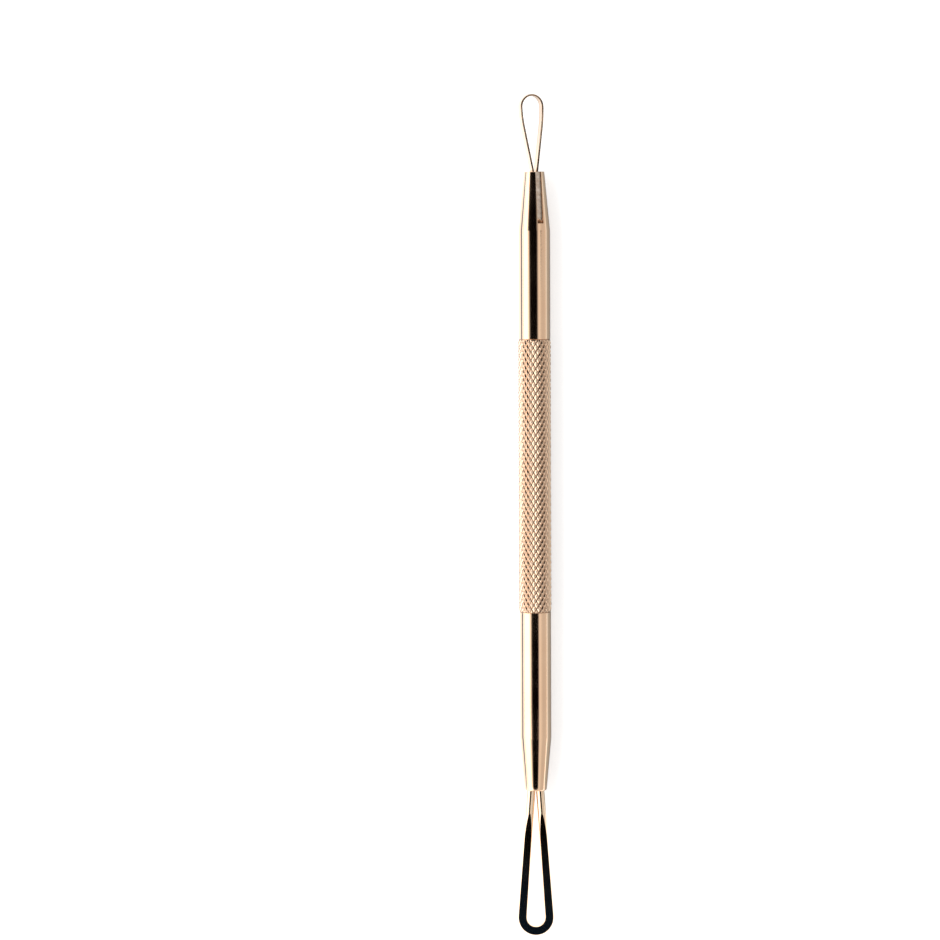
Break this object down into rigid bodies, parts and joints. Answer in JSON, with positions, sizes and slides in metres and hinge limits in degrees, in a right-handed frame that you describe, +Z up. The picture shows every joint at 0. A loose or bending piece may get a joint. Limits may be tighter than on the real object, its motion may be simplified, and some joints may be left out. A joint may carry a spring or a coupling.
{
  "type": "blackhead extractor",
  "caption": "Slim double-ended skin tool: a knurled metal bar with tapered ends, a fine strip loop at one end and a larger pressed wire loop at the other.",
  "frame": {"origin": "middle of the bounding box at floor level, under the knurled grip", "axes": "+X along the bar towards the small loop, +Z up, with the tool lying down and the large loop's plane level"},
  "size_m": [0.12, 0.0052, 0.0047],
  "materials": {
    "bar": "polished rose-gold plating",
    "strip": "polished rose-gold plating",
    "wire": "polished rose-gold plating",
    "filler": "cast, plated over"
  },
  "bodies": {
    "root": {"handle": "bar", "small_loop": "strip", "large_loop": "wire", "small_filler": "filler", "large_filler": "filler"}
  },
  "joints": []
}
